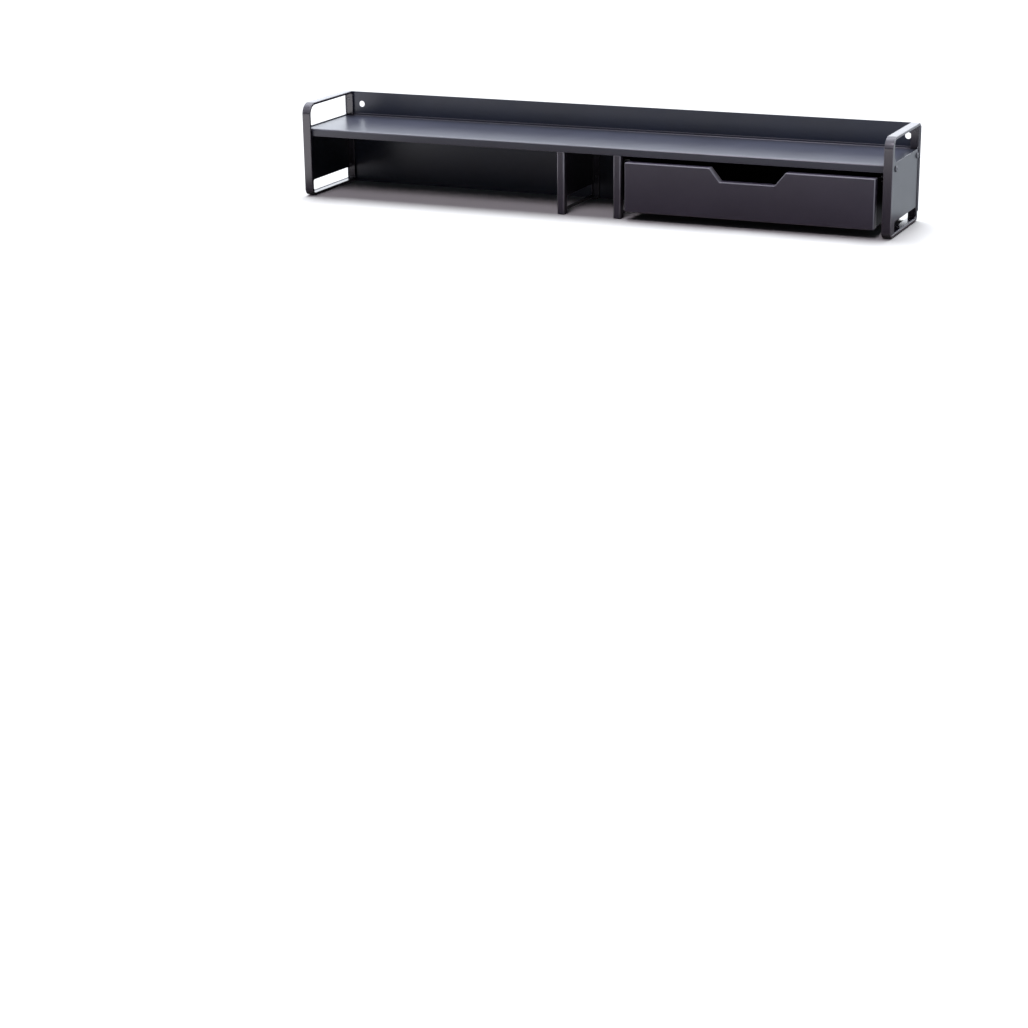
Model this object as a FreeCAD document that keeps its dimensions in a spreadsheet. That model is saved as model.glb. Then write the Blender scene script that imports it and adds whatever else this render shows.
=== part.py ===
"""Desk riser with one drawer: a long steel shelf on two looped end frames.

Frame: +X along the length, -Y towards the user, +Z up. The origin is on the desk, under the
middle of the riser's outer box. Sizes are millimetres and live in the sheet "Sizes".
"""
import FreeCAD
import Part
import Sketcher
import math
import os

V = FreeCAD.Vector

# ---------------------------------------------------------------- driving dimensions
SIZES = {
    # overall
    "length": 843.8,            # over the two end frames
    "loop_depth": 131.0,        # front to rear of an end frame
    "total_height": 130.0,      # desk to the top of the end frames
    "foot_height": 1.0,         # pads under the steel
    "foot_radius": 4.5,
    "foot_inset": 15.5,         # from a loop's front or rear to a pad's centre
    # end frames and their panels
    "strip_width": 12.0,
    "strip_thick": 3.5,
    "strip_edge": 0.9,          # rounding of the strip's long outer edges
    "front_top_radius": 16.0,
    "front_bottom_radius": 10.0,
    "rear_radius": 5.0,
    "panel_thick": 1.5,
    "panel_inset": 1.0,         # from the strip's outer edge to the panel
    "panel_rim": 0.8,           # web left along the strip above and behind the openings
    "panel_foot": 0.5,          # web left under the low window
    "panel_front_leg": 18.0,    # web left behind the strip's front, beside the bays
    "window_height": 14.6,      # low window
    "window_radius": 3.0,
    "panel_above": 1.4,         # end panel above the shelf, under the open window
    "hand_leg": 8.0,            # web left behind the strip's front, above the shelf
    "hand_top_radius": 6.0,     # front corners of the opening above the shelf
    "hand_bottom_radius": 13.0,
    # shelf
    "guard_height": 35.0,       # end frames above the shelf
    "shelf_thick": 1.5,
    "shelf_recess": 5.0,        # lip behind the front of the loops
    "lip_height": 10.6,
    "upstand": 3.4,
    "shelf_side_flange": 13.0,
    "bend": 1.0,                # inner radius of folds
    # back panel
    "back_thick": 1.2,
    "back_drop_top": 1.1,       # back panel below the top of the end frames
    "back_bottom": 0.3,
    "back_overhang": 0.5,       # beyond the end frames at both ends
    "cable_hole_radius": 4.3,
    "hole_left_inset": 25.4,
    "hole_right_inset": 16.3,
    "hole_drop": 18.5,          # cable holes below the top of the end frames
    "corner_notch_wide": 12.0,  # at the lower right, beyond the strip
    "corner_notch_high": 13.2,
    # dividers
    "divider_left": 382.6,      # left face, from the left end
    "divider_right": 463.6,
    "divider_width": 10.9,
    "divider_thick": 1.5,
    "divider_return": 10.0,
    "divider_rear_flange": 10.9,
    "divider_top_tab": 60.0,
    # drawer
    "drawer_proud": 4.0,        # front face ahead of the loops
    "drawer_side_gap": 8.7,
    "front_bottom": 12.0,
    "front_gap": 6.2,           # drawer front to the shelf's lip
    "front_thick": 1.5,
    "front_return": 11.0,
    "notch_top": 103.0,
    "notch_bottom": 74.6,
    "notch_depth": 17.3,
    "notch_radius": 3.0,
    "edge_radius": 2.0,         # outer edges of the pressed front
    "box_thick": 1.2,
    "box_fit": 0.1,
    "box_rear_gap": 8.0,        # box to back panel
    "flange_lip": 4.6,          # down-turned edge of the riding flange
    "flange_start": 20.0,       # riding flange behind the front of the loops
    "floor_flange": 9.0,
    "back_drop": 6.0,           # box back lower than the sides
    # rails
    "rail_thick": 1.5,
    "rail_opening": 5.2,        # room between the two flanges of a rail
    "rail_overlap": 6.8,        # rail flange under the riding flange
    "rail_end_gap": 5.8,        # rail to back panel
    "slide_clear": 0.3,
    "pass_clear": 0.8,          # riding flange to the sides of the bay
    "stop_lug": 5.0,
    "stop_lug_length": 6.0,
    # fasteners
    "shelf_screw_front": 18.7,  # from the front of the loops
    "shelf_screw_rear": 10.5,   # from their rear
    "shelf_screw_drop": 6.7,    # below the top of the shelf
    "shelf_screw_head": 4.0,    # head radius
    "shelf_screw_rise": 1.8,
    "shelf_screw_shank": 2.0,
    "shelf_screw_length": 9.0,
    "nut_radius": 3.4,
    "nut_length": 7.0,
    "back_screw_head": 3.0,
    "back_screw_rise": 1.5,
    "back_screw_shank": 1.5,
    "back_screw_low": 24.0,
    "back_screw_drop": 11.0,    # top screws below the top of the end frames
    "socket_across": 2.5,       # hex socket of the shelf screws
    "socket_deep": 1.2,
    "divider_screw_low": 30.0,
    "divider_screw_drop": 19.0,     # upper screws below the top of the shelf
    "screw_end": 1.0,           # shank beyond the last sheet
    "hole_clear": 0.1,
    "bumper_radius": 4.0,
    "bumper_inset": 40.0,
    "bumper_rise": 27.6,        # above the bottom of the drawer box
}

doc = FreeCAD.newDocument("DeskRiser")
sheet = doc.addObject("Spreadsheet::Sheet", "Sizes")
for row, (alias, value) in enumerate(SIZES.items(), start=1):
    sheet.set(f"A{row}", alias)
    sheet.set(f"B{row}", str(value))
    sheet.setAlias(f"B{row}", alias)

# Places worked out from the sizes above: cells too, so that every sketch can name them.
DERIVED = {
    "front_plane": "=-(drawer_proud + loop_depth + back_thick + back_screw_rise) / 2 + drawer_proud",
    "rear_plane": "=front_plane + loop_depth",
    "left_plane": "=-length / 2",
    "right_plane": "=length / 2",
    "shelf_top": "=total_height - guard_height",
    "panel_top": "=shelf_top + panel_above",
    "strip_bottom": "=foot_height",
    "strip_inner_low": "=strip_bottom + strip_thick",
    "strip_inner_high": "=total_height - strip_thick",
    "strip_inner_front": "=front_plane + strip_thick",
    "strip_inner_rear": "=rear_plane - strip_thick",
    "inner_top_radius": "=front_top_radius - strip_thick",
    "inner_bottom_radius": "=front_bottom_radius - strip_thick",
    "inner_rear_radius": "=rear_radius - strip_thick",
    "leg_rear": "=strip_inner_front + panel_front_leg",
    "opening_rear": "=strip_inner_rear - panel_rim",
    "window_low": "=strip_inner_low + panel_foot",
    "window_high": "=window_low + window_height",
    "hand_high": "=strip_inner_high - panel_rim",
    "hand_front": "=strip_inner_front + hand_leg",
    "panel_face": "=length / 2 - panel_inset",
    "panel_back": "=panel_face - panel_thick",
    "lip_front": "=front_plane + shelf_recess",
    "lip_low": "=shelf_top - lip_height",
    "shelf_under": "=shelf_top - shelf_thick",
    "upstand_top": "=shelf_top + upstand",
    "side_flange_low": "=shelf_top - shelf_side_flange",
    "corner_back": "=length / 2 - strip_width - slide_clear",
    "corner_front": "=strip_inner_rear - slide_clear",
    "bay_left": "=left_plane + divider_right + divider_width",
    "bay_right": "=right_plane - strip_width",
    "drawer_middle": "=(bay_left + bay_right) / 2",
    "front_half": "=(bay_right - bay_left) / 2 - drawer_side_gap",
    "front_face": "=front_plane - drawer_proud",
    "front_inner": "=front_face + front_thick",
    "front_top": "=lip_low - front_gap",
    "notch_floor": "=front_top - notch_depth",
    "box_half": "=front_half - front_thick - box_fit",
    "box_rear": "=rear_plane - box_rear_gap",
    "box_top": "=front_top - front_thick - box_fit",
    "box_low": "=front_bottom + front_thick + box_fit",
    "floor_top": "=box_low + 2 * box_thick",
    "flange_front": "=front_plane + flange_start",
    "flange_reach": "=(bay_right - bay_left) / 2 - pass_clear",
    "flange_under": "=box_top - flange_lip",
    "rail_low": "=flange_under - slide_clear - rail_thick",
    "rail_top": "=rail_low + 2 * rail_thick + rail_opening",
    "rail_front": "=flange_front - rail_thick - slide_clear",
    "rail_reach": "=(bay_right - bay_left) / 2 - pass_clear - rail_overlap",
    "rail_web_left": "=left_plane + divider_right + divider_thick",
    "rail_rear": "=rear_plane - rail_end_gap",
    "notch_slant": "=(notch_top - notch_bottom) / 2",
    "notch_shift": "=front_thick * tan(atan(notch_depth / notch_slant) / 2)",
    "fold_outside": "=bend + shelf_thick",
    "back_top": "=total_height - back_drop_top",
    "hole_height": "=total_height - hole_drop",
    "back_notch_top": "=back_bottom + corner_notch_high",
    "back_notch_side": "=length / 2 - strip_width - corner_notch_wide",
    "back_half": "=length / 2 + back_overhang",
    "strip_middle": "=length / 2 - strip_width / 2",
    "back_outside": "=rear_plane + back_thick",
    "back_screw_high": "=total_height - back_screw_drop",
    "back_screw_middle": "=(back_screw_low + back_screw_high) / 2",
    "divider_screw_high": "=shelf_top - divider_screw_drop",
    "shelf_screw_height": "=shelf_top - shelf_screw_drop",
    "bumper_height": "=box_low + bumper_rise",
    "front_rear": "=front_face + front_return",
    "travel": "=box_rear - stop_lug_length - rail_front - rail_thick - 0.5",
}
for row, (alias, formula) in enumerate(DERIVED.items(), start=len(SIZES) + 1):
    sheet.set(f"A{row}", alias)
    sheet.set(f"B{row}", formula)
    sheet.setAlias(f"B{row}", alias)
doc.recompute()


ALIASES = sorted(set(SIZES) | set(DERIVED), key=len, reverse=True)
nodes = []


def bind(obj, prop, expression):
    """Tie a property to an expression in the sheet's names."""
    words = []
    for word in expression.replace("(", " ( ").replace(")", " ) ").split():
        words.append("Sizes." + word if word in ALIASES else word)
    obj.setExpression(prop, " ".join(words))


# ---------------------------------------------------------------- helpers for bodies
def new_body(label):
    """An empty body that becomes one node of the assembly."""
    body = doc.addObject("PartDesign::Body", label)
    body.Label = label
    nodes.append(body)
    return body


def new_sketch(body, plane, name, offset):
    """A sketch on one of the body's own origin planes, moved along the plane's normal."""
    sketch = body.newObject("Sketcher::SketchObject", name)
    for feature in body.Origin.OriginFeatures:
        if feature.Role == plane:
            sketch.AttachmentSupport = [(feature, "")]
    sketch.MapMode = "FlatFace"
    if offset:
        bind(sketch, "AttachmentOffset.Base.z", offset)
    return sketch


def fix_point(sketch, index, point, start, across, up):
    """Tie one point of a sketch to its two coordinates."""
    for kind, expression, first in (("DistanceX", across, start.x), ("DistanceY", up, start.y)):
        number = sketch.addConstraint(Sketcher.Constraint(kind, -1, 1, index, point, first))
        name = f"{kind[-1].lower()}_{index}"
        sketch.renameConstraint(number, name)
        bind(sketch, f"Constraints.{name}", expression)


def outline(body, plane, name, corners, offset=None):
    """A closed outline of straight lines through corners given as pairs of expressions."""
    sketch = new_sketch(body, plane, name, offset)
    count = len(corners)
    turns = [math.tau * index / count for index in range(count)]
    spots = [V(math.cos(turn), math.sin(turn), 0) for turn in turns]
    for index in range(count):
        sketch.addGeometry(Part.LineSegment(spots[index], spots[(index + 1) % count]), False)
    for index in range(count):
        sketch.addConstraint(Sketcher.Constraint("Coincident", index, 2, (index + 1) % count, 1))
    for index, (across, up) in enumerate(corners):
        fix_point(sketch, index, 1, spots[index], across, up)
    return sketch


def rectangle(body, plane, name, low, high, offset=None):
    """A rectangle between two opposite corners."""
    corners = [low, (high[0], low[1]), high, (low[0], high[1])]
    return outline(body, plane, name, corners, offset)


def circles(body, plane, name, centres, radius, offset=None):
    """Equal circles, each centre a pair of expressions."""
    sketch = new_sketch(body, plane, name, offset)
    for index, (across, up) in enumerate(centres):
        start = V(index, 1, 0)
        sketch.addGeometry(Part.Circle(start, V(0, 0, 1), 1), False)
        fix_point(sketch, index, 3, start, across, up)
        number = sketch.addConstraint(Sketcher.Constraint("Radius", index, 1.0))
        sketch.renameConstraint(number, f"radius_{index}")
        bind(sketch, f"Constraints.radius_{index}", radius)
    return sketch


def pad(body, sketch, length):
    """Material from the sketch along its normal."""
    feature = body.newObject("PartDesign::Pad", sketch.Name + "_pad")
    feature.Profile = sketch
    bind(feature, "Length", length)
    sketch.Visibility = False
    return feature


def block(body, name, low, high):
    """A box between two opposite corners, each a triple of expressions."""
    sketch = rectangle(body, "XY_Plane", name, low[:2], high[:2], low[2])
    return pad(body, sketch, f"{high[2]} - ( {low[2]} )")


def cut(body, sketch, depth=None):
    """Remove material: along the sketch's normal for a depth, or right through both ways."""
    doc.recompute()
    before = body.Shape.Volume
    feature = body.newObject("PartDesign::Pocket", sketch.Name + "_cut")
    feature.Profile = sketch
    if depth:
        bind(feature, "Length", depth)
        feature.Reversed = True
    else:
        feature.Type = "ThroughAll"
        feature.SideType = "Symmetric"
    doc.recompute()
    assert body.Shape.Volume < before, f"{feature.Name} removed nothing"
    return feature


def round_edges(body, name, radius, chosen):
    """Round the edges of the body's last feature that the test picks."""
    doc.recompute()
    base = body.Tip
    names = [f"Edge{i}" for i, edge in enumerate(base.Shape.Edges, start=1) if chosen(edge)]
    assert names, f"{name} found no edges"
    feature = body.newObject("PartDesign::Fillet", name)
    feature.Base = (base, names)
    bind(feature, "Radius", radius)
    doc.recompute()
    return feature


def value(alias):
    """The number in the cell that has this alias."""
    return float(getattr(sheet, alias))


def corner_edges(direction, *places):
    """Pick straight edges along an axis that pass through places across it."""
    axis = "xyz".index(direction)

    def chosen(edge):
        first, last = edge.Vertexes[0].Point, edge.Vertexes[-1].Point
        span = [abs(last[i] - first[i]) for i in range(3)]
        if span[axis] < 0.01 or sum(span) - span[axis] > 0.001:
            return False
        across = [first[i] for i in range(3) if i != axis]
        return any(abs(across[0] - a) < 0.01 and abs(across[1] - b) < 0.01 for a, b in places)

    return chosen


def face_edges(direction, place):
    """Pick every edge that lies in the plane at a place along an axis."""
    axis = "xyz".index(direction)

    def chosen(edge):
        box = edge.BoundBox
        low, high = ((box.XMin, box.XMax), (box.YMin, box.YMax), (box.ZMin, box.ZMax))[axis]
        return abs(low - place) < 0.01 and abs(high - place) < 0.01

    return chosen


# ---------------------------------------------------------------- helpers for primitives
FAR_RIM = 3     # a cylinder's edge at its far end
TURNS = {"+x": V(0, 1, 0), "-x": V(0, -1, 0), "+y": V(-1, 0, 0), "-y": V(1, 0, 0)}


def cylinder(name, axis, base, radius, height, kind="Part::Cylinder"):
    """A cylinder from a base point along an axis."""
    shape = doc.addObject(kind, name)
    if axis in TURNS:
        shape.Placement = FreeCAD.Placement(V(0, 0, 0), FreeCAD.Rotation(TURNS[axis], 90))
    for letter, expression in zip("xyz", base):
        bind(shape, f"Placement.Base.{letter}", expression)
    bind(shape, "Radius" if kind == "Part::Cylinder" else "Circumradius", radius)
    bind(shape, "Height", height)
    return shape


def fuse(name, first, second):
    """Two shapes joined into one solid."""
    joined = doc.addObject("Part::Fuse", name)
    joined.Base = first
    joined.Tool = second
    return joined


def subtract(name, first, second):
    """One shape cut out of another."""
    left = doc.addObject("Part::Cut", name)
    left.Base = first
    left.Tool = second
    return left


def group(label, members):
    """Separate solids that share one node."""
    compound = doc.addObject("Part::Compound", label)
    compound.Label = label
    compound.Links = members
    nodes.append(compound)
    return compound


def rounded_rim(name, shape, radius):
    """Round the free rim of a head: the last circular edge of a cylinder."""
    doc.recompute()
    feature = doc.addObject("Part::Fillet", name)
    feature.Base = shape
    feature.Edges = [(FAR_RIM, radius, radius)]
    return feature


# ---------------------------------------------------------------- end frames and panels
def end_frame(label, inner_face):
    """Flat strip bent into a closed upright loop, drilled at the rear for the back panel."""
    body = new_body(label)
    loop = rectangle(body, "YZ_Plane", label + "_outer", ("front_plane", "strip_bottom"),
                     ("rear_plane", "total_height"), inner_face)
    pad(body, loop, "strip_width")
    hollow = rectangle(body, "YZ_Plane", label + "_inner", ("strip_inner_front", "strip_inner_low"),
                       ("strip_inner_rear", "strip_inner_high"), inner_face)
    cut(body, hollow)
    front, rear = value("strip_inner_front"), value("strip_inner_rear")
    low, high = value("strip_inner_low"), value("strip_inner_high")
    round_edges(body, label + "_in_top", "inner_top_radius", corner_edges("x", (front, high)))
    round_edges(body, label + "_in_bottom", "inner_bottom_radius", corner_edges("x", (front, low)))
    round_edges(body, label + "_in_rear", "inner_rear_radius", corner_edges("x", (rear, high), (rear, low)))
    front, rear = value("front_plane"), value("rear_plane")
    low, high = value("strip_bottom"), value("total_height")
    round_edges(body, label + "_front_top", "front_top_radius", corner_edges("x", (front, high)))
    round_edges(body, label + "_front_bottom", "front_bottom_radius", corner_edges("x", (front, low)))
    round_edges(body, label + "_rear", "rear_radius", corner_edges("x", (rear, high), (rear, low)))
    side = value(inner_face)
    outer_rim = [edge_on_loop(side), edge_on_loop(side + value("strip_width"))]
    round_edges(body, label + "_edges", "strip_edge", lambda edge: any(test(edge) for test in outer_rim))
    middle = f"{inner_face} + strip_width / 2"
    centres = [(middle, height) for height in BACK_SCREW_HEIGHTS]
    holes = circles(body, "XZ_Plane", label + "_holes", centres, BACK_SCREW_HOLE, "0 - rear_plane")
    cut(body, holes, "strip_thick + 1")
    return body


def edge_on_loop(place):
    """Pick the loop's outside edges in one of its two flat side planes."""
    in_plane = face_edges("x", place)
    front, rear = value("strip_inner_front") - 0.01, value("strip_inner_rear") + 0.01
    low, high = value("strip_inner_low") - 0.01, value("strip_inner_high") + 0.01

    def chosen(edge):
        if not in_plane(edge):
            return False
        spot = edge.valueAt((edge.FirstParameter + edge.LastParameter) / 2)
        return not (front < spot.y < rear and low < spot.z < high)

    return chosen


def end_panel(label, low_face, screw_places):
    """Sheet inside a loop: solid beside the bays, open above the shelf and near the desk."""
    body = new_body(label)
    blank = rectangle(body, "YZ_Plane", label + "_blank", ("strip_inner_front", "strip_inner_low"),
                      ("strip_inner_rear", "strip_inner_high"), low_face)
    pad(body, blank, "panel_thick")
    opening = rectangle(body, "YZ_Plane", label + "_opening", ("hand_front", "panel_top"),
                        ("opening_rear", "hand_high"))
    cut(body, opening)
    front, rear = value("hand_front"), value("opening_rear")
    low, high = value("panel_top"), value("hand_high")
    round_edges(body, label + "_hand_top", "hand_top_radius", corner_edges("x", (front, high)))
    round_edges(body, label + "_hand_bottom", "hand_bottom_radius", corner_edges("x", (front, low)))
    round_edges(body, label + "_hand_rear", "window_radius", corner_edges("x", (rear, high), (rear, low)))
    window = rectangle(body, "YZ_Plane", label + "_window", ("leg_rear", "window_low"),
                       ("opening_rear", "window_high"))
    cut(body, window)
    front, low, high = value("leg_rear"), value("window_low"), value("window_high")
    places = [(y, z) for y in (front, rear) for z in (low, high)]
    round_edges(body, label + "_window_corners", "window_radius", corner_edges("x", *places))
    front, rear = value("strip_inner_front"), value("strip_inner_rear")
    low, high = value("strip_inner_low"), value("strip_inner_high")
    round_edges(body, label + "_top", "inner_top_radius", corner_edges("x", (front, high)))
    round_edges(body, label + "_bottom", "inner_bottom_radius", corner_edges("x", (front, low)))
    round_edges(body, label + "_rear", "inner_rear_radius", corner_edges("x", (rear, high), (rear, low)))
    holes = circles(body, "YZ_Plane", label + "_holes", screw_places, SHELF_SCREW_HOLE)
    cut(body, holes)
    return body


# ---------------------------------------------------------------- shelf and back panel
def shelf(screw_places):
    """Folded shelf: front lip, rear upstand against the back panel, side flanges."""
    body = new_body("shelf")
    profile = [("lip_front", "lip_low"), ("lip_front", "shelf_top"),
               ("rear_plane - shelf_thick", "shelf_top"), ("rear_plane - shelf_thick", "upstand_top"),
               ("rear_plane", "upstand_top"), ("rear_plane", "shelf_under"),
               ("lip_front + shelf_thick", "shelf_under"), ("lip_front + shelf_thick", "lip_low")]
    section = outline(body, "YZ_Plane", "shelf_section", profile, "0 - panel_back")
    pad(body, section, "2 * panel_back")
    lip, rear = value("lip_front"), value("rear_plane")
    thick, top, under = value("shelf_thick"), value("shelf_top"), value("shelf_under")
    round_edges(body, "shelf_folds", "fold_outside", corner_edges("x", (lip, top), (rear, under)))
    inner_folds = corner_edges("x", (lip + thick, under), (rear - thick, top))
    round_edges(body, "shelf_inner_folds", "bend", inner_folds)
    for side, low, high in (("left", "0 - panel_back", "0 - panel_back + shelf_thick"),
                            ("right", "panel_back - shelf_thick", "panel_back")):
        block(body, f"shelf_{side}_flange", (low, "lip_front + shelf_thick + bend", "side_flange_low"),
              (high, "corner_front", "shelf_under"))
    for side, low, high in (("left", "left_plane", "0 - corner_back"),
                            ("right", "corner_back", "right_plane")):
        corner = rectangle(body, "XY_Plane", f"shelf_{side}_corner", (low, "corner_front"),
                           (high, "rear_plane + 1"))
        cut(body, corner)
    holes = circles(body, "YZ_Plane", "shelf_holes", screw_places, SHELF_SCREW_HOLE)
    cut(body, holes)
    return body


def back_panel(screw_places):
    """Sheet behind the loops, notched at the lower right, with a cable hole near each top corner."""
    body = new_body("back_panel")
    corners = [("0 - back_half", "back_bottom"), ("back_notch_side", "back_bottom"),
               ("back_notch_side", "back_notch_top"), ("back_half", "back_notch_top"),
               ("back_half", "back_top"), ("0 - back_half", "back_top")]
    sheet_outline = outline(body, "XZ_Plane", "back_outline", corners, "0 - back_outside")
    pad(body, sheet_outline, "back_thick")
    half, top = value("back_half"), value("back_top")
    round_edges(body, "back_corners", "rear_radius", corner_edges("y", (half, top), (-half, top)))
    cable = [("left_plane + hole_left_inset", "hole_height"),
             ("right_plane - hole_right_inset", "hole_height")]
    cut(body, circles(body, "XZ_Plane", "cable_holes", cable, "cable_hole_radius"))
    cut(body, circles(body, "XZ_Plane", "back_holes", screw_places, BACK_SCREW_HOLE))
    return body


# ---------------------------------------------------------------- dividers
def divider(label, place):
    """Folded upright: web on its left, face and short return in front, flange behind."""
    body = new_body(label)
    left = f"left_plane + {place}"
    right = f"left_plane + {place} + divider_width"
    thick = "divider_thick"
    section = [(left, "rear_plane"), (left, "lip_front"), (right, "lip_front"),
               (right, "lip_front + divider_return"), (f"{right} - {thick}", "lip_front + divider_return"),
               (f"{right} - {thick}", f"lip_front + {thick}"), (f"{left} + {thick}", f"lip_front + {thick}"),
               (f"{left} + {thick}", f"rear_plane - {thick}"),
               (f"{left} + divider_rear_flange", f"rear_plane - {thick}"),
               (f"{left} + divider_rear_flange", "rear_plane")]
    folded = outline(body, "XY_Plane", label + "_section", section, "foot_height")
    pad(body, folded, "shelf_under - foot_height")
    x_left, front = value("left_plane") + value(place), value("lip_front")
    x_right = x_left + value("divider_width")
    round_edges(body, label + "_folds", "bend + divider_thick",
                corner_edges("z", (x_left, front), (x_right, front)))
    lip_room = rectangle(body, "YZ_Plane", label + "_lip_room", ("lip_front - 1", "lip_low"),
                         ("lip_front + shelf_thick + bend", "shelf_under + 1"))
    cut(body, lip_room)
    window = rectangle(body, "YZ_Plane", label + "_window", ("leg_rear", "window_low"),
                       ("opening_rear", "window_high"))
    cut(body, window)
    inside = f"{left} + {thick}"
    block(body, label + "_top_tab", (inside, "leg_rear", f"shelf_under - {thick}"),
          (right, "leg_rear + divider_top_tab", "shelf_under"))
    block(body, label + "_front_foot", (inside, f"lip_front + {thick}", "foot_height"),
          (f"{right} - {thick}", "lip_front + divider_return", f"foot_height + {thick}"))
    block(body, label + "_rear_foot", (inside, f"rear_plane - {thick} - divider_return", "foot_height"),
          (f"{left} + divider_rear_flange", f"rear_plane - {thick}", f"foot_height + {thick}"))
    middle = f"{left} + divider_width / 2 + {thick} / 2"
    centres = [(middle, "divider_screw_low"), (middle, "divider_screw_high")]
    holes = circles(body, "XZ_Plane", label + "_holes", centres, BACK_SCREW_HOLE, "0 - rear_plane")
    cut(body, holes, f"{thick} + 0.5")
    return body


# ---------------------------------------------------------------- drawer rails
def rail(label, web, inward):
    """C-section runner that opens towards the drawer, closed in front by a stop tab."""
    body = new_body(label)
    sign = "+" if inward > 0 else "-"
    back = "-" if inward > 0 else "+"
    reach = f"drawer_middle {back} rail_reach"
    inner = f"{web} {sign} rail_thick"
    section = [(web, "rail_low"), (web, "rail_top"), (reach, "rail_top"), (reach, "rail_top - rail_thick"),
               (inner, "rail_top - rail_thick"), (inner, "rail_low + rail_thick"),
               (reach, "rail_low + rail_thick"), (reach, "rail_low")]
    profile = outline(body, "XZ_Plane", label + "_section", section, "0 - rail_rear")
    pad(body, profile, "rail_rear - rail_front")
    tab_end = f"drawer_middle {back} flange_reach {back} slide_clear"
    low, high = (inner, tab_end) if inward > 0 else (tab_end, inner)
    block(body, label + "_stop", (low, "rail_front", "rail_low + rail_thick"),
          (high, "rail_front + rail_thick", "rail_top - rail_thick"))
    return body


# ---------------------------------------------------------------- drawer
def drawer_front():
    """Pressed front: a face with edges returned all round, also along the finger notch."""
    body = new_body("drawer_front")
    corners = front_corners("front_half", "front_bottom", "front_top", "notch_floor", "0")
    pad(body, outline(body, "XZ_Plane", "front_outline", corners, "0 - front_rear"), "front_return")
    middle, top, floor = value("drawer_middle"), value("front_top"), value("notch_floor")
    wide, narrow = value("notch_top") / 2, value("notch_bottom") / 2
    places = [(middle + side * wide, top) for side in (-1, 1)]
    places += [(middle + side * narrow, floor) for side in (-1, 1)]
    round_edges(body, "notch_corners", "notch_radius", corner_edges("y", *places))
    half, bottom = value("front_half"), value("front_bottom")
    places = [(middle + side * half, height) for side in (-1, 1) for height in (bottom, top)]
    round_edges(body, "front_corners", "edge_radius", corner_edges("y", *places))
    round_edges(body, "front_edges", "edge_radius", face_edges("y", value("front_face")))
    inside = front_corners("front_half - front_thick", "front_bottom + front_thick",
                           "front_top - front_thick", "notch_floor - front_thick", "notch_shift")
    hollow = outline(body, "XZ_Plane", "front_hollow", inside, "0 - front_rear")
    cut(body, hollow, "front_return - front_thick")
    return body


def front_corners(half, low, high, floor, shift):
    """The front's outline: a rectangle with a trapezoid notch in the middle of its top."""
    left = [(f"drawer_middle - ( {half} )", low), (f"drawer_middle - ( {half} )", high),
            (f"drawer_middle - notch_top / 2 - {shift}", high),
            (f"drawer_middle - notch_bottom / 2 - {shift}", floor)]
    right = [(f"drawer_middle + notch_bottom / 2 + {shift}", floor),
             (f"drawer_middle + notch_top / 2 + {shift}", high),
             (f"drawer_middle + {half}", high), (f"drawer_middle + {half}", low)]
    return left + right


def drawer_side(label, outward):
    """Side of the drawer box, with a floor flange inside and the riding flange outside."""
    body = new_body(label)
    away = "-" if outward < 0 else "+"
    toward = "+" if outward < 0 else "-"
    outer = f"drawer_middle {away} box_half"
    inner = f"drawer_middle {away} box_half {toward} box_thick"
    floor_edge = f"drawer_middle {away} box_half {toward} floor_flange"
    wall = [(outer, "box_low"), (outer, "box_top"), (inner, "box_top"), (inner, "box_low + box_thick"),
            (floor_edge, "box_low + box_thick"), (floor_edge, "box_low")]
    side_wall = outline(body, "XZ_Plane", label + "_wall", wall, "0 - box_rear")
    pad(body, side_wall, "box_rear - front_inner - box_fit")
    edge = f"drawer_middle {away} flange_reach"
    lip = f"drawer_middle {away} flange_reach {toward} box_thick"
    flange = [(outer, "box_top"), (outer, "box_top - box_thick"), (lip, "box_top - box_thick"),
              (lip, "flange_under"), (edge, "flange_under"), (edge, "box_top")]
    riding_flange = outline(body, "XZ_Plane", label + "_flange", flange, "0 - box_rear")
    pad(body, riding_flange, "box_rear - flange_front")
    lug = f"drawer_middle {away} flange_reach {away} stop_lug"
    low, high = (lug, edge) if outward < 0 else (edge, lug)
    block(body, label + "_lug", (low, "box_rear - stop_lug_length", "flange_under"),
          (high, "box_rear", "box_top"))
    return body


def drawer_bottom():
    """Floor of the drawer box, resting on the side walls' floor flanges."""
    body = new_body("drawer_bottom")
    low = ("drawer_middle - box_half + box_thick", "front_inner + box_fit", "box_low + box_thick")
    high = ("drawer_middle + box_half - box_thick", "box_rear - box_thick", "floor_top")
    block(body, "drawer_floor", low, high)
    return body


def drawer_back():
    """Rear wall of the drawer box, a little lower than the sides."""
    body = new_body("drawer_back")
    low = ("drawer_middle - box_half + box_thick", "box_rear - box_thick", "box_low + box_thick")
    high = ("drawer_middle + box_half - box_thick", "box_rear", "box_top - back_drop")
    block(body, "drawer_rear_wall", low, high)
    return body


# ---------------------------------------------------------------- fasteners, bumpers, feet
def shelf_screws(label, side, places):
    """Round-headed socket screws through an end panel into the shelf's side flange."""
    members = []
    axis, back, sign = ("-x", "+x", "0 - ") if side == "left" else ("+x", "-x", "")
    for number, (across, up) in enumerate(places, start=1):
        name = f"{label}_{number}"
        seat = (f"{sign}panel_face", across, up)
        top = (f"{sign}( panel_face + shelf_screw_rise )", across, up)
        head = cylinder(name + "_head", axis, seat, "shelf_screw_head", "shelf_screw_rise")
        dome = rounded_rim(name + "_dome", head, value("shelf_screw_rise") * HEAD_ROUND)
        shank = cylinder(name + "_shank", back, seat, "shelf_screw_shank", "shelf_screw_length")
        socket = cylinder(name + "_socket", back, top, "socket_across / 2", "socket_deep", "Part::Prism")
        members.append(subtract(name, fuse(name + "_blank", dome, shank), socket))
    return group(label, members)


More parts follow.
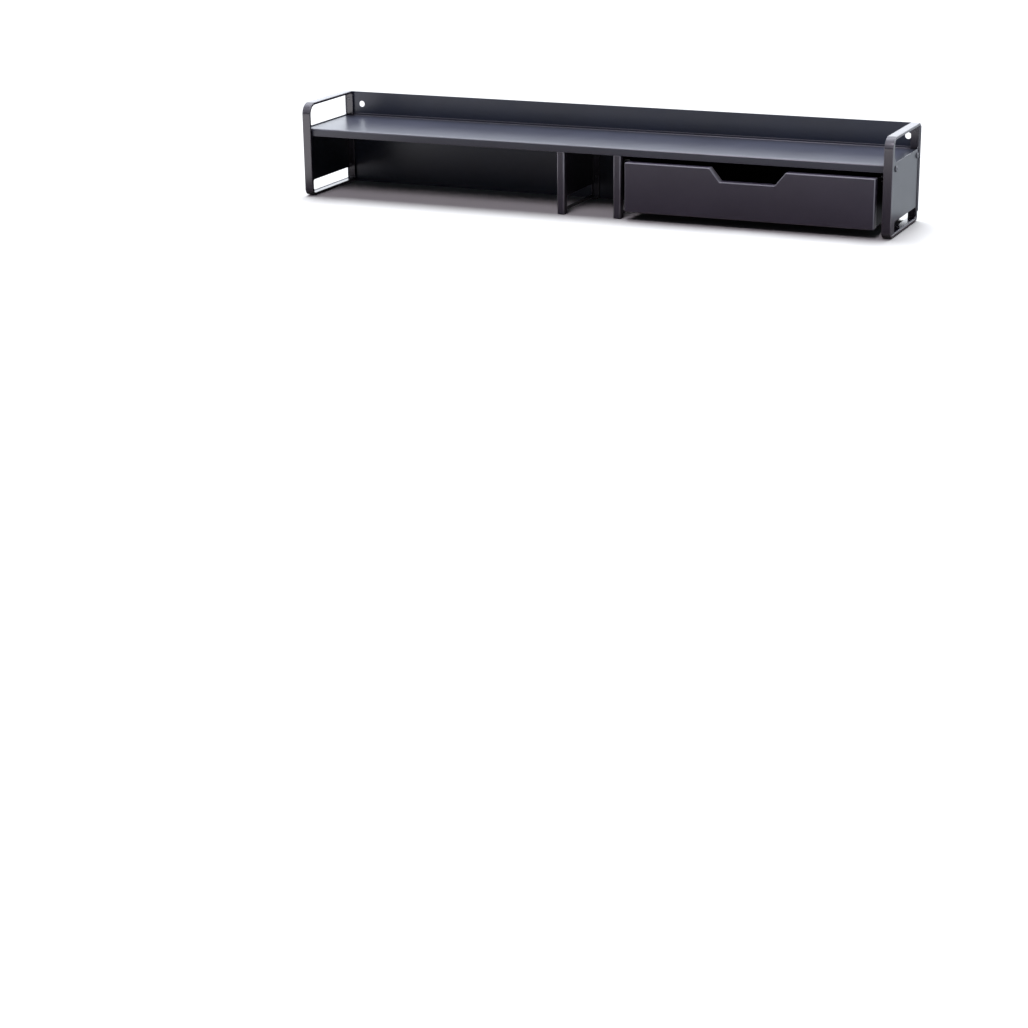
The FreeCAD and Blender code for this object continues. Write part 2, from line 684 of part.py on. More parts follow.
def rivet_nuts(label, side, places):
    """Threaded inserts behind the shelf's side flange."""
    members = []
    axis, sign = ("+x", "0 - ") if side == "left" else ("-x", "")
    for number, (across, up) in enumerate(places, start=1):
        name = f"{label}_{number}"
        seat = (f"{sign}( panel_back - shelf_thick )", across, up)
        barrel = cylinder(name + "_barrel", axis, seat, "nut_radius", "nut_length")
        bore = cylinder(name + "_bore", axis, seat, "shelf_screw_shank + hole_clear", "nut_length")
        members.append(subtract(name, barrel, bore))
    return group(label, members)


def back_screws(label, places, length):
    """Small round-headed screws through the back panel from behind."""
    members = []
    for number, (across, up) in enumerate(places, start=1):
        name = f"{label}_{number}"
        seat = (across, "back_outside", up)
        head = cylinder(name + "_head", "+y", seat, "back_screw_head", "back_screw_rise")
        dome = rounded_rim(name + "_dome", head, value("back_screw_rise") * HEAD_ROUND)
        shank = cylinder(name + "_shank", "-y", seat, "back_screw_shank", length)
        members.append(fuse(name, dome, shank))
    return group(label, members)


def pads(label, places):
    """Thin round pads between the steel and the desk."""
    members = []
    for number, (across, along) in enumerate(places, start=1):
        base = (across, along, "0")
        members.append(cylinder(f"{label}_{number}", "+z", base, "foot_radius", "foot_height"))
    return group(label, members)


def bumpers():
    """Rubber buttons on the drawer's rear wall."""
    members = []
    for number, side in enumerate("-+", start=1):
        across = f"drawer_middle {side} ( box_half - bumper_inset )"
        place = (across, "box_rear", "bumper_height")
        button = cylinder(f"bumper_{number}_button", "+y", place, "bumper_radius",
                          "box_rear_gap - slide_clear")
        members.append(rounded_rim(f"bumper_{number}", button, value("bumper_radius") / 4))
    return group("drawer_bumpers", members)


# ---------------------------------------------------------------- the assembly
HEAD_ROUND = 0.8    # share of a screw head's height that its rim is rounded
SHELF_SCREW_HOLE = "shelf_screw_shank + hole_clear"
BACK_SCREW_HOLE = "back_screw_shank + hole_clear"
DIVIDER_SCREW_SHANK = "back_thick + divider_thick + screw_end"
BACK_SCREW_HEIGHTS = ("back_screw_low", "back_screw_middle", "back_screw_high")
SHELF_SCREW_PLACES = [("front_plane + shelf_screw_front", "shelf_screw_height"),
                      ("rear_plane - shelf_screw_rear", "shelf_screw_height")]
DIVIDER_MIDDLES = {name: f"left_plane + {name} + divider_width / 2 + divider_thick / 2"
                   for name in ("divider_left", "divider_right")}
LEFT_BACK = [("0 - strip_middle", height) for height in BACK_SCREW_HEIGHTS]
RIGHT_BACK = [("strip_middle", height) for height in BACK_SCREW_HEIGHTS]
DIVIDER_BACK = {name: [(middle, height) for height in ("divider_screw_low", "divider_screw_high")]
                for name, middle in DIVIDER_MIDDLES.items()}

end_frame("left_end_frame", "left_plane")
end_frame("right_end_frame", "bay_right")
end_panel("left_end_panel", "0 - panel_face", SHELF_SCREW_PLACES)
end_panel("right_end_panel", "panel_back", SHELF_SCREW_PLACES)
shelf(SHELF_SCREW_PLACES)
back_panel(LEFT_BACK + RIGHT_BACK + DIVIDER_BACK["divider_left"] + DIVIDER_BACK["divider_right"])
divider("left_divider", "divider_left")
divider("right_divider", "divider_right")
rail("left_rail", "rail_web_left", 1)
rail("right_rail", "panel_back", -1)
drawer_front()
drawer_side("drawer_left_side", -1)
drawer_side("drawer_right_side", 1)
drawer_bottom()
drawer_back()
bumpers()
for wing in ("left", "right"):
    shelf_screws(f"{wing}_shelf_screws", wing, SHELF_SCREW_PLACES)
    rivet_nuts(f"{wing}_rivet_nuts", wing, SHELF_SCREW_PLACES)
back_screws("left_back_screws", LEFT_BACK, "back_thick + strip_thick")
back_screws("right_back_screws", RIGHT_BACK, "back_thick + strip_thick")
for wing in ("left", "right"):
    back_screws(f"{wing}_divider_screws", DIVIDER_BACK[f"divider_{wing}"], DIVIDER_SCREW_SHANK)
FRONT_FOOT, REAR_FOOT = "front_plane + foot_inset", "rear_plane - foot_inset"
pads("left_feet", [("0 - strip_middle", FRONT_FOOT), ("0 - strip_middle", REAR_FOOT)])
pads("right_feet", [("strip_middle", FRONT_FOOT), ("strip_middle", REAR_FOOT)])
pads("divider_feet", [(middle, place) for middle in DIVIDER_MIDDLES.values()
                      for place in ("lip_front + divider_return / 2 + divider_thick / 2",
                                    "rear_plane - divider_thick - divider_return / 2")])
doc.recompute()

# ---------------------------------------------------------------- checks and export
for thing in doc.Objects:
    bad = [state for state in thing.State if state in ("Invalid", "Error")]
    if bad:
        raise RuntimeError(f"{thing.Label}: {bad}")
os.makedirs("parts", exist_ok=True)
for node in nodes:
    if node.Shape.isNull() or not node.Shape.isValid():
        raise RuntimeError(f"{node.Label}: shape is not valid")
    node.Shape.exportStep(f"parts/{node.Label}.step")
    box = node.Shape.BoundBox
    print(f"{node.Label:20s} solids {len(node.Shape.Solids)} volume {node.Shape.Volume:10.1f} "
          f"x {box.XMin:8.2f} {box.XMax:8.2f} y {box.YMin:7.2f} {box.YMax:7.2f} "
          f"z {box.ZMin:6.2f} {box.ZMax:6.2f}")
print("drawer travel", round(value("travel"), 2))
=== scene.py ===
"""Desk riser with one drawer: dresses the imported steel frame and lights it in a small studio.

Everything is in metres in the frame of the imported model: +X along the riser towards its drawer,
-Y towards the user, +Z up, with the origin on the desk under the middle of the riser.
"""

import logging
import math
from dataclasses import dataclass
from enum import Enum
from functools import cache

import bpy
from mathutils import Matrix, Vector


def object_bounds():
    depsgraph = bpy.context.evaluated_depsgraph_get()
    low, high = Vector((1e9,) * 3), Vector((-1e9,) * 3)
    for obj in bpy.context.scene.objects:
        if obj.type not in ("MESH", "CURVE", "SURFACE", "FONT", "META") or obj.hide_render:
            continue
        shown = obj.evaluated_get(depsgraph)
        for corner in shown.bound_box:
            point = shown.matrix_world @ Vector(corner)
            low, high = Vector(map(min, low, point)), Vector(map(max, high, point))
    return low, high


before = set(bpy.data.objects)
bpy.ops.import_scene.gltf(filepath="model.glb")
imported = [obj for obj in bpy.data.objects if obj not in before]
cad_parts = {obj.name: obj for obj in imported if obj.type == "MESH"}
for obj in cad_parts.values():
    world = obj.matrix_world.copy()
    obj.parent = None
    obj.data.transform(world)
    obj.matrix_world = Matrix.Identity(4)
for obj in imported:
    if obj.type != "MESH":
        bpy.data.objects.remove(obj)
CAD_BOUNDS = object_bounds()

log = logging.getLogger("desk_riser")

MM = 0.001

Colour = tuple[float, float, float]
Point = tuple[float, float, float]
Socket = bpy.types.NodeSocket

WHITE: Colour = (1.0, 1.0, 1.0)


class Side(Enum):
    """The two ends of the riser."""

    LEFT = "left"
    RIGHT = "right"

    @classmethod
    def both(cls, part: str) -> tuple[str, ...]:
        """The nodes of a part that comes in a left and a right one."""
        return tuple(f"{side.value}_{part}" for side in cls)


class Mixed(Enum):
    """What a mix node mixes: its data type, and the type of its sockets."""

    COLOURS = ("RGBA", "RGBA")
    NUMBERS = ("FLOAT", "VALUE")


class Ease(Enum):
    """How a value goes over from one end of a range to the other."""

    STRAIGHT = "LINEAR"
    SMOOTH = "SMOOTHSTEP"


# ---------------------------------------------------------------- nodes
@dataclass(frozen=True)
class Speckle:
    """A noise pattern on a surface."""

    scale: float            # cells per metre
    detail: float = 2.0     # octaves of finer noise
    rough: float = 0.5      # how strong the finer octaves are


class NodeSheet:
    """The node tree of a material or a world, with short ways to add and join nodes."""

    def __init__(self, owner: bpy.types.Material | bpy.types.World, output: str) -> None:
        """Start with an output node and the surface's coordinates.

        Args:
            owner: The material or the world.
            output: The output node's type name.
        """
        owner.use_nodes = True
        self.tree = owner.node_tree
        self.tree.nodes.clear()
        self.output = self.add(output)
        self.place = self.add("ShaderNodeTexCoord")

    def add(self, kind: str, **values: object) -> bpy.types.Node:
        """Add a node and set its inputs.

        Args:
            kind: The node's type name.
            **values: Input values; underscores in a name stand for spaces.

        Returns:
            The new node.
        """
        node = self.tree.nodes.new(kind)
        for key, value in values.items():
            node.inputs[key.replace("_", " ")].default_value = value
        return node

    def join(self, start: Socket, end: Socket) -> None:
        """Link an output to an input."""
        self.tree.links.new(start, end)

    def feed(self, socket: Socket, value: object) -> None:
        """Link an output to an input, or set the input where the value is a plain one.

        Args:
            socket: The input.
            value: An output, a number or a colour.
        """
        if isinstance(value, Socket):
            self.join(value, socket)
        elif socket.type == "RGBA":
            socket.default_value = (*value, 1.0)
        else:
            socket.default_value = value

    def noise(self, speckle: Speckle) -> Socket:
        """Add a noise texture on the object's own coordinates.

        Args:
            speckle: The pattern.

        Returns:
            The noise's value, around 0.5.
        """
        texture = self.add("ShaderNodeTexNoise", Scale=speckle.scale, Detail=speckle.detail,
                           Roughness=speckle.rough)
        self.join(self.place.outputs["Object"], texture.inputs["Vector"])
        return texture.outputs["Fac"]

    def folds(self, in_fold: float, on_flat: float) -> Socket:
        """Find folds and rounded edges: where the sheet faces between two of its main directions.

        Args:
            in_fold: The most that a full fold faces along any one axis, from 0 to 1.
            on_flat: The least that flat sheet faces along its own axis.

        Returns:
            1 in a fold and 0 on flat sheet.
        """
        facing = self.tree.nodes.new("ShaderNodeVectorMath")
        facing.operation = "ABSOLUTE"
        self.join(self.place.outputs["Normal"], facing.inputs[0])
        split = self.add("ShaderNodeSeparateXYZ")
        self.join(facing.outputs["Vector"], split.inputs["Vector"])
        level = self.math("MAXIMUM", split.outputs["X"], split.outputs["Y"])
        most = self.math("MAXIMUM", level, split.outputs["Z"])
        return self.spread(most, 1.0, 0.0, in_fold, on_flat)

    def spread(self, value: Socket, low: float, high: float, start: float = 0.3, end: float = 0.7,
               ease: Ease = Ease.STRAIGHT) -> Socket:
        """Map a value between start and end to low and high, held at both ends.

        Args:
            value: The value.
            low: The result at the start.
            high: The result at the end.
            start: Where the change starts; the default is a noise's darkest common value.
            end: Where the change ends; the default is a noise's palest common value.
            ease: How the result goes over from low to high.

        Returns:
            The result.
        """
        span = self.add("ShaderNodeMapRange", From_Min=start, From_Max=end, To_Min=low, To_Max=high)
        span.interpolation_type = ease.value
        self.join(value, span.inputs["Value"])
        return span.outputs["Result"]

    def math(self, action: str, *values: object) -> Socket:
        """Work out a value.

        Args:
            action: The math node's operation.
            *values: Its inputs, each a number or an output.

        Returns:
            The result.
        """
        node = self.tree.nodes.new("ShaderNodeMath")
        node.operation = action
        for socket, value in zip(node.inputs, values):
            self.feed(socket, value)
        return node.outputs["Value"]

    def blend(self, share: Socket, first: object, second: object,
              kind: Mixed = Mixed.COLOURS) -> Socket:
        """Mix two colours or numbers.

        Args:
            share: How much of the second there is, from 0 to 1.
            first: A plain value or an output.
            second: A plain value or an output.
            kind: Whether they are colours or numbers.

        Returns:
            The mixture.
        """
        mix = self.tree.nodes.new("ShaderNodeMix")
        mix.data_type, wanted = kind.value
        typed = [socket for socket in mix.inputs if socket.type == wanted]
        ends = [socket for socket in typed if socket.name in ("A", "B")]
        for socket, value in zip(ends, (first, second)):
            self.feed(socket, value)
        self.join(share, mix.inputs[0])
        return next(socket for socket in mix.outputs if socket.type == wanted)


# ---------------------------------------------------------------- finishes
@dataclass(frozen=True)
class Finish:
    """A surface whose tone and roughness vary a little, with a fine relief."""

    name: str
    colour: Colour
    roughness: float
    gloss: float                        # the shader's specular level
    metallic: float
    tones: tuple[float, float]          # darkest and palest, as shares of the colour
    clouds: Speckle                     # where it is darker and paler
    rough_span: tuple[float, float]     # smoothest and roughest, counted from the roughness
    patches: Speckle                    # where it is smoother and rougher
    relief: Speckle
    relief_depth: float
    relief_strength: float

    def tint(self, sheet: NodeSheet, shader: bpy.types.Node) -> Socket:
        """Build the surface's colour, which clouds make darker and paler.

        Args:
            sheet: The material's nodes.
            shader: The surface's shader, which a kind of finish may change with its colour.

        Returns:
            The colour.
        """
        dark, pale = (tuple(part * share for part in self.colour) for share in self.tones)
        return sheet.blend(sheet.spread(sheet.noise(self.clouds), 0.0, 1.0), dark, pale)

    @cache
    def material(self) -> bpy.types.Material:
        """Build the node material, once for all the pieces that have this finish.

        Returns:
            The material.
        """
        material = bpy.data.materials.new(self.name)
        sheet = NodeSheet(material, "ShaderNodeOutputMaterial")
        shader = sheet.add("ShaderNodeBsdfPrincipled", Metallic=self.metallic,
                           Specular_IOR_Level=self.gloss)
        sheet.join(self.tint(sheet, shader), shader.inputs["Base Color"])
        smoothest, roughest = (self.roughness + step for step in self.rough_span)
        sheet.join(sheet.spread(sheet.noise(self.patches), smoothest, roughest),
                   shader.inputs["Roughness"])
        bump = sheet.add("ShaderNodeBump", Strength=self.relief_strength,
                         Distance=self.relief_depth)
        sheet.join(sheet.noise(self.relief), bump.inputs["Height"])
        sheet.join(bump.outputs["Normal"], shader.inputs["Normal"])
        sheet.join(shader.outputs["BSDF"], sheet.output.inputs["Surface"])
        return material


@dataclass(frozen=True)
class PowderCoat(Finish):
    """Baked charcoal powder coat on sheet steel: satin, and paler and metallic in folds and over
    edges, partly worn coat and partly a painted highlight.
    """

    gloss: float = 0.5
    metallic: float = 0.0
    tones: tuple[float, float] = (0.86, 1.14)
    clouds: Speckle = Speckle(9.0, 4.0, 0.6)
    rough_span: tuple[float, float] = (-0.012, 0.012)
    patches: Speckle = Speckle(35.0)
    relief: Speckle = Speckle(1500.0)
    relief_depth: float = 0.008 * MM
    relief_strength: float = 0.6
    # How far folds and edges turn paler and metallic: partly worn coat, partly a painted highlight.
    edge_wear_and_highlight: float = 0.5
    bare_steel_and_highlight: Colour = (0.62, 0.62, 0.68)
    in_fold: float = 0.88
    on_flat: float = 0.997

    def tint(self, sheet: NodeSheet, shader: bpy.types.Node) -> Socket:
        """Turn the clouded coat paler and metallic in folds and over edges: partly worn coat, partly
        a painted highlight.

        Args:
            sheet: The material's nodes.
            shader: The coat's shader, which turns metallic there.

        Returns:
            The colour.
        """
        coat = super().tint(sheet, shader)
        # painted highlight: folds and rounded edges go paler and metallic, partly as worn coat
        worn_and_highlight = sheet.math("MULTIPLY", sheet.folds(self.in_fold, self.on_flat), self.edge_wear_and_highlight)
        sheet.join(worn_and_highlight, shader.inputs["Metallic"])
        return sheet.blend(worn_and_highlight, coat, self.bare_steel_and_highlight)


@dataclass(frozen=True)
class PlatedSteel(Finish):
    """Bright or black zinc plating on turned steel, slightly cloudy."""

    gloss: float = 0.5
    metallic: float = 1.0
    tones: tuple[float, float] = (0.8, 1.0)
    clouds: Speckle = Speckle(400.0, 3.0)
    rough_span: tuple[float, float] = (-0.08, 0.10)
    patches: Speckle = Speckle(900.0)
    relief: Speckle = Speckle(3000.0, 1.0)
    relief_depth: float = 0.01 * MM
    relief_strength: float = 0.3


@dataclass(frozen=True)
class MouldedRubber(Finish):
    """Matt black moulded rubber."""

    gloss: float = 0.5
    metallic: float = 0.0
    tones: tuple[float, float] = (1.0, 1.5)
    clouds: Speckle = Speckle(300.0, 3.0)
    rough_span: tuple[float, float] = (-0.05, 0.10)
    patches: Speckle = Speckle(700.0)
    relief: Speckle = Speckle(2500.0)
    relief_depth: float = 0.02 * MM
    relief_strength: float = 0.5


# Each part's coat colour is set on its own so that the part matches how bright it looks in this
# light: partly the parts' own tones, partly lit and shaded copies of one charcoal paint, which is
# painted light and shade.
FRAME_COAT = PowderCoat("frame_coat", (0.036, 0.030, 0.046), 0.22, gloss=0.64, edge_wear_and_highlight=0.2)
PANEL_COAT = PowderCoat("panel_coat", (0.022, 0.025, 0.038), 0.30)
SHELF_COAT = PowderCoat("shelf_coat", (0.048, 0.051, 0.073), 0.30, gloss=0.40, edge_wear_and_highlight=0.25)
BACK_COAT = PowderCoat("back_coat", (0.013, 0.0195, 0.042), 0.32)
DIVIDER_COAT = PowderCoat("divider_coat", (0.056, 0.050, 0.070), 0.30)
FRONT_COAT = PowderCoat("drawer_front_coat", (0.055, 0.048, 0.073), 0.32, edge_wear_and_highlight=0.3)
# Near black and almost without gloss, so that the box side in the gap beside the drawer reads as the
# shade there: painted shade.
BOX_COAT = PowderCoat("drawer_box_coat", (0.012, 0.012, 0.014), 0.42, gloss=0.08)
RAIL_COAT = PowderCoat("rail_coat", (0.024, 0.024, 0.026), 0.30)
BLACK_ZINC = PlatedSteel("black_zinc", (0.15, 0.15, 0.165), 0.44)
BRIGHT_ZINC = PlatedSteel("bright_zinc", (0.62, 0.62, 0.60), 0.32)
RUBBER = MouldedRubber("pad_rubber", (0.018, 0.018, 0.018), 0.80)


# ---------------------------------------------------------------- sub-assemblies
@dataclass(frozen=True)
class EdgeBreak:
    """The small round that deburring and the coat leave on a sheet's cut edges."""

    width: float
    segments: int = 2
    sharp: float = 40.0             # faces that turn more degrees than this meet in a cut edge
    flat: float = 0.5               # triangles that turn fewer degrees than this are one face
    weld: float = 0.002 * MM        # corners nearer than this are one

    def apply(self, node: bpy.types.Object) -> None:
        """Add the round to a node as modifiers, with its mesh untouched.

        Args:
            node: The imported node's object.
        """
        weld = node.modifiers.new("weld", "WELD")
        weld.merge_threshold = self.weld
        flatten = node.modifiers.new("flatten", "DECIMATE")
        flatten.decimate_type = "DISSOLVE"
        flatten.angle_limit = math.radians(self.flat)
        round_off = node.modifiers.new("edge_break", "BEVEL")
        round_off.width = self.width
        round_off.segments = self.segments
        round_off.limit_method = "ANGLE"
        round_off.angle_limit = math.radians(self.sharp)
        round_off.harden_normals = True
        round_off.use_clamp_overlap = False


@dataclass
class SubAssembly:
    """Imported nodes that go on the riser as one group."""

    def build(self) -> None:
        """Round the pieces' cut edges; those of a group that doesn't say so stay as packed."""

    def dress(self) -> None:
        """Give each piece its finish."""

    def round_edges(self, names: tuple[str, ...], width: float) -> None:
        """Round the cut edges of some pieces.

        Args:
            names: The pieces' nodes.
            width: How far the round reaches from the edge.
        """
        for name in names:
            EdgeBreak(width).apply(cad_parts[name])
            log.info("%s: %s rounded by %.2f mm", type(self).__name__, name, width / MM)

    def put_on(self, names: tuple[str, ...], finish: Finish) -> None:
        """Put a finish on some pieces.

        Args:
            names: The pieces' nodes.
            finish: Their finish.
        """
        for name in names:
            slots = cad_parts[name].data.materials
            slots.clear()
            slots.append(finish.material())
            log.info("%s: %s in %s", type(self).__name__, name, finish.name)


@dataclass
class EndFrames(SubAssembly):
    """Each end's strip loop and the panel in it, with its pads and the shelf's screws and nuts."""

    strip_edge: float = 0.5 * MM
    panel_edge: float = 0.25 * MM

    def build(self) -> None:
        """Round the edges of the strip loops and their panels."""
        self.round_edges(Side.both("end_frame"), self.strip_edge)
        self.round_edges(Side.both("end_panel"), self.panel_edge)

    def dress(self) -> None:
        """Coat the steel, plate the fasteners, and leave the pads as rubber."""
        self.put_on(Side.both("end_frame"), FRAME_COAT)
        self.put_on(Side.both("end_panel"), PANEL_COAT)
        self.put_on(Side.both("shelf_screws"), BLACK_ZINC)
        self.put_on(Side.both("rivet_nuts"), BRIGHT_ZINC)
        self.put_on(Side.both("feet"), RUBBER)


@dataclass
class Shelf(SubAssembly):
    """The folded shelf, with the widest round on its edges."""

    edge: float = 0.6 * MM

    def build(self) -> None:
        """Round the shelf's cut edges."""
        self.round_edges(("shelf",), self.edge)

    def dress(self) -> None:
        """Coat the shelf."""
        self.put_on(("shelf",), SHELF_COAT)


@dataclass
class BackPanel(SubAssembly):
    """The thin sheet behind the riser and the screws that hold it, with their edges as packed."""

    def dress(self) -> None:
        """Coat the sheet and plate its screws."""
        self.put_on(("back_panel",), BACK_COAT)
        self.put_on(Side.both("back_screws") + Side.both("divider_screws"), BLACK_ZINC)


@dataclass
class Dividers(SubAssembly):
    """The uprights left and right of the pigeonhole, and their pads."""

    edge: float = 0.25 * MM

    def build(self) -> None:
        """Round the uprights' cut edges."""
        self.round_edges(Side.both("divider"), self.edge)

    def dress(self) -> None:
        """Coat the uprights and leave the pads as rubber."""
        self.put_on(Side.both("divider"), DIVIDER_COAT)
        self.put_on(("divider_feet",), RUBBER)


@dataclass
class Rails(SubAssembly):
    """The runners that the drawer's flanges slide in."""

    edge: float = 0.25 * MM

    def build(self) -> None:
        """Round the runners' cut edges."""
        self.round_edges(Side.both("rail"), self.edge)

    def dress(self) -> None:
        """Coat the runners."""
        self.put_on(Side.both("rail"), RAIL_COAT)


@dataclass
class Drawer(SubAssembly):
    """The pressed front, the sheet box behind it, and the bumpers on the box."""

    box_edge: float = 0.25 * MM
    box: tuple[str, ...] = ("drawer_left_side", "drawer_right_side", "drawer_bottom", "drawer_back")

    def build(self) -> None:
        """Round the box's cut edges."""
        self.round_edges(self.box, self.box_edge)

    def dress(self) -> None:
        """Coat the front and the box, and leave the bumpers as rubber."""
        self.put_on(("drawer_front",), FRONT_COAT)
        self.put_on(self.box, BOX_COAT)
        self.put_on(("drawer_bumpers",), RUBBER)


# ---------------------------------------------------------------- studio
@dataclass(frozen=True)
class SoftSun:
    """A far, wide lamp: even light over the whole floor, with soft shadows."""

    name: str
    source: Point                   # direction that the light comes from
    spread: float                   # degrees across
    strength: float
    colour: Colour
    mirrored: bool = True           # whether gloss shows the lamp itself

    def hang(self) -> None:
        """Make the lamp, shining from its source direction towards the riser."""
        data = bpy.data.lights.new(self.name, "SUN")
        data.energy = self.strength
        data.angle = math.radians(self.spread)
        data.color = self.colour
        lamp = bpy.data.objects.new(self.name, data)
        lamp.rotation_euler = (-Vector(self.source)).to_track_quat("-Z", "Y").to_euler()
        lamp.visible_glossy = self.mirrored
        bpy.context.scene.collection.objects.link(lamp)


@dataclass(frozen=True)
class Patch:
    """A rectangle of the floor, from its left front corner to its right rear one."""

    low: tuple[float, float]
    high: tuple[float, float]

    def holds(self, sheet: NodeSheet, along: Socket, across: Socket) -> Socket:
        """Tell whether a place is in the patch.

        Args:
            sheet: The floor's nodes.
            along: The place along X.
            across: The place along Y.

        Returns:
            1 inside the patch and 0 beyond it.
        """
        (left, front), (right, rear) = self.low, self.high
        in_length = sheet.math("COMPARE", along, (left + right) / 2, (right - left) / 2)
        in_depth = sheet.math("COMPARE", across, (front + rear) / 2, (rear - front) / 2)
        return sheet.math("MULTIPLY", in_length, in_depth)


@dataclass(frozen=True)
class Floor:
    """A plain pale floor to the eye. Near the riser it is as dark as a table top to bounced light, a
    painted shade; in gloss it glows as a painted reflection, with a painted shadow under the riser.
    """

    span: float = 16.0
    height: float = 0.1 * MM                    # the pads give this much under the riser's weight
    colour: Colour = (0.72, 0.72, 0.72)
    table: Patch = Patch((-0.478, -0.570), (0.470, 0.095))
    footprint: Patch = Patch(tuple(CAD_BOUNDS[0][:2]), tuple(CAD_BOUNDS[1][:2]))
    # painted shade: near the riser the floor is dark to bounced light only, which keeps the bays
    # darker
    table_shade_bounce: Colour = (0.05, 0.035, 0.030)
    table_painted_glow: Colour = (0.22, 0.195, 0.22)           # painted reflection: the glow that steel mirrors of the floor
    # painted shadow: under the riser the floor's glow in gloss is almost dark
    footprint_painted_shadow: Colour = (0.035, 0.032, 0.035)
    left_painted_glow: Colour = (2.5, 2.45, 2.52)
    right_painted_glow: Colour = (0.86, 0.92, 1.0)
    painted_glow_turn: tuple[float, float] = (-0.85, 0.45)     # X + Y where left goes over into right

    def lay(self) -> None:
        """Make the floor's plane and its material."""
        half = self.span / 2
        mesh = bpy.data.meshes.new("studio_floor")
        corners = [(x, y, self.height) for x, y in ((-half, -half), (half, -half),
                                                    (half, half), (-half, half))]
        mesh.from_pydata(corners, [], [(0, 1, 2, 3)])
        mesh.materials.append(self.material())
        plane = bpy.data.objects.new("studio_floor", mesh)
        bpy.context.scene.collection.objects.link(plane)

    def material(self) -> bpy.types.Material:
        """Build the floor's material: pale to the eye, dark as a table top to bounced light (painted
        shade), and a painted glow in gloss with a painted shadow under the riser.

        Returns:
            The material.
        """
        material = bpy.data.materials.new("studio_floor")
        sheet = NodeSheet(material, "ShaderNodeOutputMaterial")
        rays = sheet.add("ShaderNodeLightPath").outputs
        split = sheet.add("ShaderNodeSeparateXYZ")
        sheet.join(sheet.place.outputs["Object"], split.inputs["Vector"])
        along, across = split.outputs["X"], split.outputs["Y"]
        on_table = self.table.holds(sheet, along, across)
        # painted shadow mask: the riser's outline on the floor
        under_riser_shadow = self.footprint.holds(sheet, along, across)

        bounce = sheet.blend(on_table, self.colour, self.table_shade_bounce)
        matt = sheet.add("ShaderNodeBsdfDiffuse")
        sheet.join(sheet.blend(rays["Is Camera Ray"], bounce, self.colour), matt.inputs["Color"])

        # painted reflection: in gloss the floor glows instead of showing its lit colour, bright
        # beyond the table, dim on it, and almost dark under the riser as a painted shadow
        rightward = sheet.spread(sheet.math("ADD", along, across), 0.0, 1.0, *self.painted_glow_turn)
        beyond = sheet.blend(rightward, self.left_painted_glow, self.right_painted_glow)
        open_painted_glow = sheet.blend(on_table, beyond, self.table_painted_glow)
        glow = sheet.add("ShaderNodeEmission")
        sheet.join(sheet.blend(under_riser_shadow, open_painted_glow, self.footprint_painted_shadow), glow.inputs["Color"])

        choice = sheet.add("ShaderNodeMixShader")
        sheet.join(rays["Is Glossy Ray"], choice.inputs["Fac"])
        sheet.join(matt.outputs["BSDF"], choice.inputs[1])
        sheet.join(glow.outputs["Emission"], choice.inputs[2])
        sheet.join(choice.outputs["Shader"], sheet.output.inputs["Surface"])
        return material


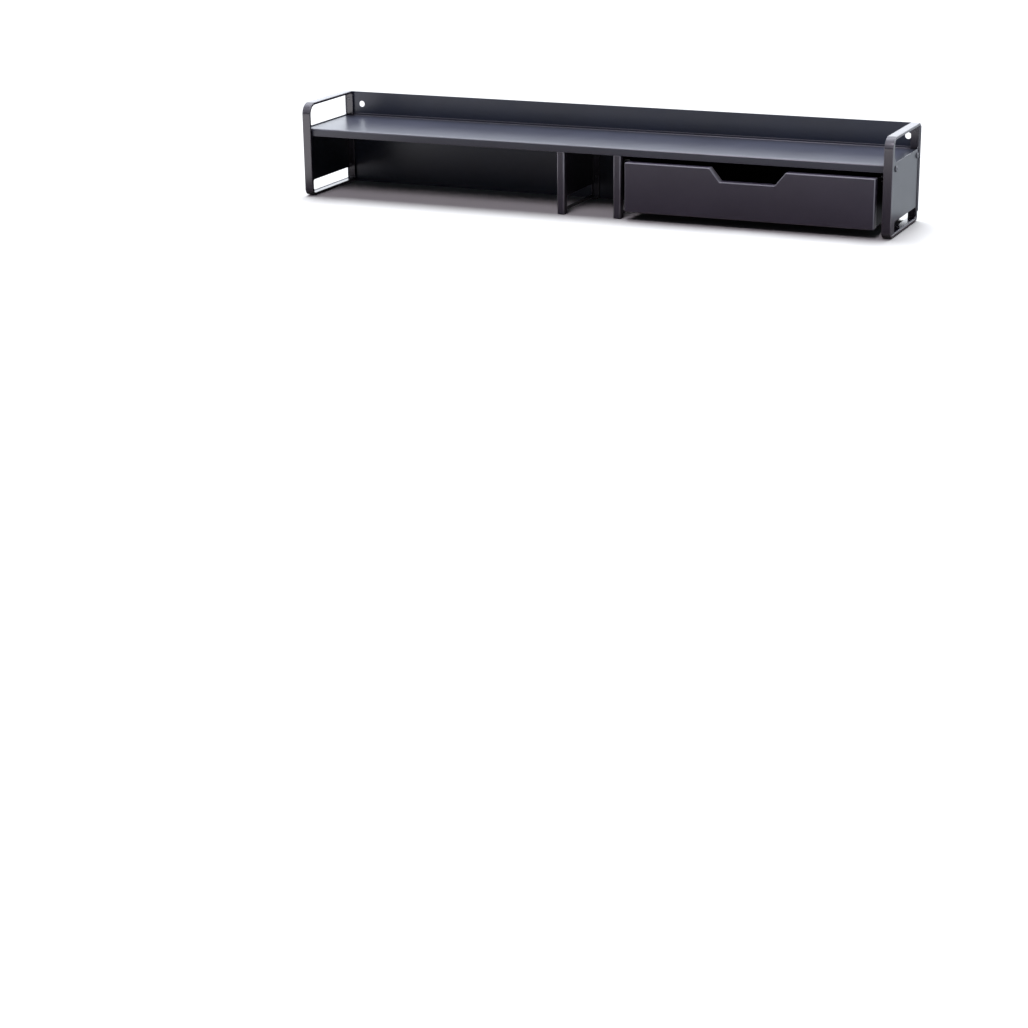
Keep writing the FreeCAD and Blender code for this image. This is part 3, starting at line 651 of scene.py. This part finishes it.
@dataclass(frozen=True)
class Surround:
    """The white room: bright where steel mirrors it, and weak as a light of its own."""

    seen: float = 1.0
    front: float = 0.4              # mirrored, on the user's side
    behind: float = 2.5             # mirrored, beyond the riser
    scattered: float = 0.06         # as a light
    tint: Colour = (0.90, 0.94, 1.0)
    height_share: float = -0.1      # how height counts against depth: overhead is darker than behind
    turn: float = 0.35              # how soon front goes over into behind

    def build(self) -> None:
        """Make the world and its nodes."""
        world = bpy.data.worlds.new("studio_surround")
        bpy.context.scene.world = world
        sheet = NodeSheet(world, "ShaderNodeOutputWorld")
        rays = sheet.add("ShaderNodeLightPath").outputs
        heading = sheet.tree.nodes.new("ShaderNodeVectorMath")
        heading.operation = "DOT_PRODUCT"
        heading.inputs[1].default_value = (0.0, 1.0, self.height_share)
        sheet.join(sheet.place.outputs["Generated"], heading.inputs[0])

        mirrored = sheet.spread(heading.outputs["Value"], self.front, self.behind,
                                -self.turn, self.turn, ease=Ease.SMOOTH)
        unseen = sheet.blend(rays["Is Glossy Ray"], self.scattered, mirrored, Mixed.NUMBERS)
        strength = sheet.blend(rays["Is Camera Ray"], unseen, self.seen, Mixed.NUMBERS)
        light = sheet.add("ShaderNodeBackground")
        sheet.join(strength, light.inputs["Strength"])
        sheet.join(sheet.blend(rays["Is Camera Ray"], self.tint, WHITE), light.inputs["Color"])
        sheet.join(light.outputs["Background"], sheet.output.inputs["Surface"])


@dataclass(frozen=True)
class Viewpoint:
    """Where the camera stands, how many degrees it is turned, and its lens."""

    eye: Point = (1.1974, -2.9437, 0.6390)
    azimuth: float = 24.37          # to the right of straight in front
    elevation: float = 18.73        # looking down
    roll: float = -0.81
    focal_pixels: float = 2360.0
    frame_pixels: float = 1028.0
    sensor: float = 36.0            # in millimetres, as Blender counts a lens
    reach: float = 50.0

    def aim(self) -> None:
        """Make the camera and turn the scene to it."""
        data = bpy.data.cameras.new("camera")
        data.sensor_width = self.sensor
        data.lens = self.focal_pixels / self.frame_pixels * self.sensor
        data.clip_end = self.reach
        camera = bpy.data.objects.new("camera", data)
        turn = Matrix.Rotation(math.radians(self.azimuth), 4, "Z")
        tilt = Matrix.Rotation(math.radians(90 - self.elevation), 4, "X")
        lean = Matrix.Rotation(math.radians(self.roll), 4, "Z")
        camera.matrix_world = Matrix.Translation(self.eye) @ turn @ tilt @ lean
        bpy.context.scene.collection.objects.link(camera)
        bpy.context.scene.camera = camera


@dataclass(frozen=True)
class Studio:
    """Floor, surround, lamps and camera."""

    floor: Floor = Floor()
    surround: Surround = Surround()
    suns: tuple[SoftSun, ...] = (
        SoftSun("top", (-0.15, 0.30, 1.0), spread=46.0, strength=5.2, colour=(0.95, 0.98, 1.0),
                mirrored=False),
        SoftSun("front", (0.0, -1.0, 1.25), spread=24.0, strength=0.9, colour=(1.0, 0.90, 1.0)),
    )
    viewpoint: Viewpoint = Viewpoint()

    def build(self) -> None:
        """Build the whole studio."""
        self.floor.lay()
        self.surround.build()
        for sun in self.suns:
            sun.hang()
        self.viewpoint.aim()
        bpy.context.scene.view_settings.view_transform = "Standard"


def main() -> None:
    """Build and dress every sub-assembly, then the studio around them."""
    logging.basicConfig(level=logging.INFO, format="%(name)s: %(message)s")
    for group in (EndFrames(), Shelf(), BackPanel(), Dividers(), Rails(), Drawer()):
        group.build()
        group.dress()
    Studio().build()


if __name__ == "__main__":
    main()
